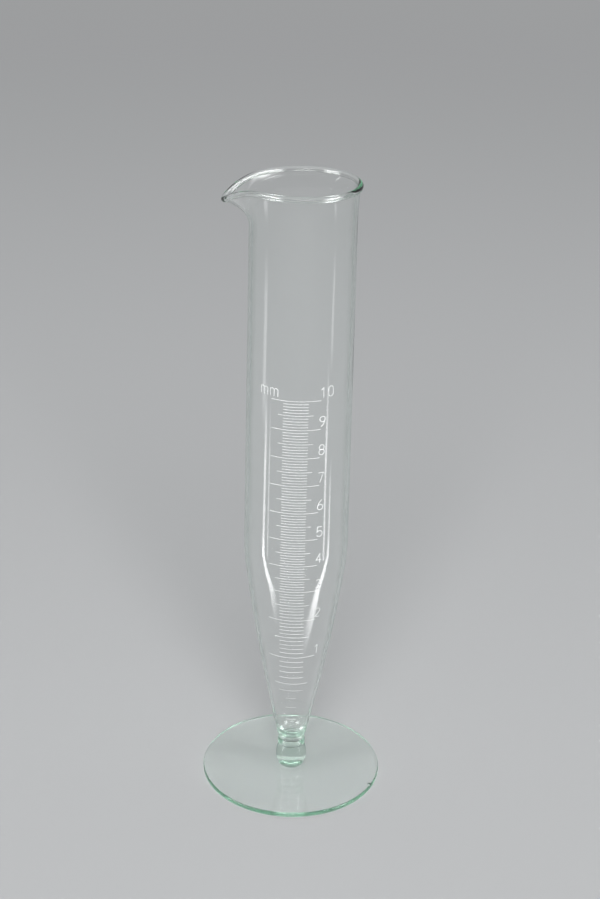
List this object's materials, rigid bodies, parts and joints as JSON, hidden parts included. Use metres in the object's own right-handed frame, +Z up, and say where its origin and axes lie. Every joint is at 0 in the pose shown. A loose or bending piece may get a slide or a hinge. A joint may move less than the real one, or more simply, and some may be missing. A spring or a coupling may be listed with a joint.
{
  "type": "rain gauge measuring glass",
  "caption": "Tapered glass on a knopped stem and a round foot, with a pour lip and an etched scale that reads the depth of rain caught by a collector.",
  "frame": {"origin": "centre of the foot's underside, on the surface that it stands on", "axes": "+Z up along the glass's axis, -Y out of the front of the scale, -X towards the pour lip"},
  "size_m": [0.084, 0.084, 0.2899],
  "materials": {
    "clear_glass": "clear, fire-polished, with a faint green tint",
    "etched_mark": "etched and filled, matt white"
  },
  "bodies": {
    "root": {"foot_disc": "clear_glass", "stem_knop": "clear_glass", "stem_collar": "clear_glass", "vessel": "clear_glass", "whole_line_1": "etched_mark", "whole_line_2": "etched_mark", "whole_line_3": "etched_mark", "whole_line_4": "etched_mark", "whole_line_5": "etched_mark", "whole_line_6": "etched_mark", "whole_line_7": "etched_mark", "whole_line_8": "etched_mark", "whole_line_9": "etched_mark", "whole_line_10": "etched_mark", "half_line_1": "etched_mark", "half_line_2": "etched_mark", "half_line_3": "etched_mark", "half_line_4": "etched_mark", "half_line_5": "etched_mark", "half_line_6": "etched_mark", "half_line_7": "etched_mark", "half_line_8": "etched_mark", "half_line_9": "etched_mark", "half_line_10": "etched_mark", "tenth_lines_1": "etched_mark", "tenth_lines_2": "etched_mark", "tenth_lines_3": "etched_mark", "tenth_lines_4": "etched_mark", "tenth_lines_5": "etched_mark", "tenth_lines_6": "etched_mark", "tenth_lines_7": "etched_mark", "tenth_lines_8": "etched_mark", "tenth_lines_9": "etched_mark", "tenth_lines_10": "etched_mark", "numeral_1": "etched_mark", "numeral_2": "etched_mark", "numeral_3": "etched_mark", "numeral_4": "etched_mark", "numeral_5": "etched_mark", "numeral_6": "etched_mark", "numeral_7": "etched_mark", "numeral_8": "etched_mark", "numeral_9": "etched_mark", "numeral_10": "etched_mark", "unit_mark": "etched_mark"}
  },
  "joints": []
}
